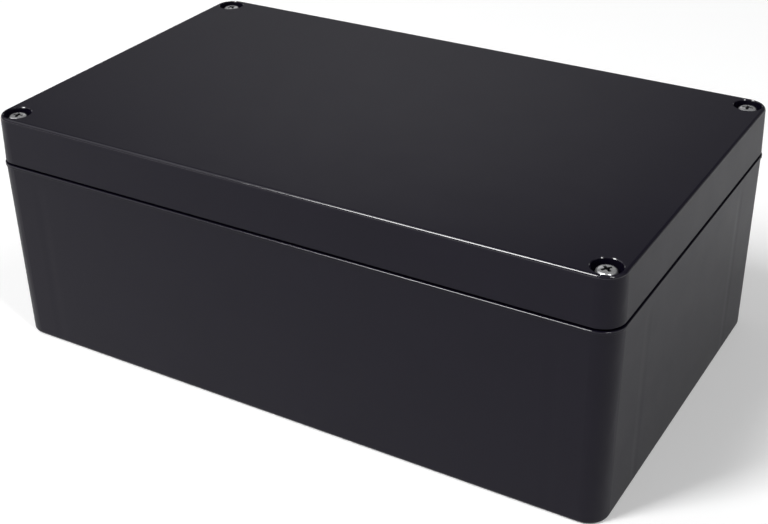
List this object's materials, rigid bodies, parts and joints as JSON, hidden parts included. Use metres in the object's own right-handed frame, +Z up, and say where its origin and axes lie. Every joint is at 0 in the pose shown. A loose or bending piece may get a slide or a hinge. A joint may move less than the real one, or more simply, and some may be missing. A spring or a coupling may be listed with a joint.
{
  "type": "plastic project box",
  "caption": "Sealed rectangular plastic project box: a deep moulded base, a lid held by corner screws over a gasket, and wall mounting holes in wells outside the seal.",
  "frame": {"origin": "centre of the underside of the base", "axes": "+X along the length, +Y from the front to the back across the width, +Z up through the lid"},
  "size_m": [0.2, 0.12, 0.075],
  "materials": {
    "abs_plastic": "satin",
    "black_rubber": "matte",
    "brass": "satin",
    "screw_steel": "satin"
  },
  "bodies": {
    "base": {"base": "abs_plastic", "threaded_insert_front_left": "brass", "threaded_insert_front_right": "brass", "threaded_insert_back_left": "brass", "threaded_insert_back_right": "brass"},
    "lid": {"lid": "abs_plastic", "gasket": "black_rubber"},
    "washer_front_left": {"screw_washer_front_left": "black_rubber"},
    "screw_front_left": {"lid_screw_front_left": "screw_steel"},
    "washer_front_right": {"screw_washer_front_right": "black_rubber"},
    "screw_front_right": {"lid_screw_front_right": "screw_steel"},
    "washer_back_left": {"screw_washer_back_left": "black_rubber"},
    "screw_back_left": {"lid_screw_back_left": "screw_steel"},
    "washer_back_right": {"screw_washer_back_right": "black_rubber"},
    "screw_back_right": {"lid_screw_back_right": "screw_steel"}
  },
  "joints": [
    {"name": "lid_lift", "type": "slide", "parent": "base", "child": "lid", "axis": [0, 0, 1], "range_m": [0, 0.08]},
    {"name": "screw_rise_front_left", "type": "slide", "parent": "lid", "child": "washer_front_left", "axis": [0, 0, 1], "range_m": [0, 0.0085]},
    {"name": "screw_turn_front_left", "type": "hinge", "parent": "washer_front_left", "child": "screw_front_left", "pos_m": [-0.0939, -0.0539, 0.072], "axis": [0, 0, 1], "range_deg": [0, 6120]},
    {"name": "screw_rise_front_right", "type": "slide", "parent": "lid", "child": "washer_front_right", "axis": [0, 0, 1], "range_m": [0, 0.0085]},
    {"name": "screw_turn_front_right", "type": "hinge", "parent": "washer_front_right", "child": "screw_front_right", "pos_m": [0.0939, -0.0539, 0.072], "axis": [0, 0, 1], "range_deg": [0, 6120]},
    {"name": "screw_rise_back_left", "type": "slide", "parent": "lid", "child": "washer_back_left", "axis": [0, 0, 1], "range_m": [0, 0.0085]},
    {"name": "screw_turn_back_left", "type": "hinge", "parent": "washer_back_left", "child": "screw_back_left", "pos_m": [-0.0939, 0.0539, 0.072], "axis": [0, 0, 1], "range_deg": [0, 6120]},
    {"name": "screw_rise_back_right", "type": "slide", "parent": "lid", "child": "washer_back_right", "axis": [0, 0, 1], "range_m": [0, 0.0085]},
    {"name": "screw_turn_back_right", "type": "hinge", "parent": "washer_back_right", "child": "screw_back_right", "pos_m": [0.0939, 0.0539, 0.072], "axis": [0, 0, 1], "range_deg": [0, 6120]}
  ],
  "couplings": [
    {"joint": "screw_turn_front_left", "follows": "screw_rise_front_left", "rad_per_m": 12566},
    {"joint": "screw_turn_front_right", "follows": "screw_rise_front_right", "rad_per_m": 12566},
    {"joint": "screw_turn_back_left", "follows": "screw_rise_back_left", "rad_per_m": 12566},
    {"joint": "screw_turn_back_right", "follows": "screw_rise_back_right", "rad_per_m": 12566}
  ]
}
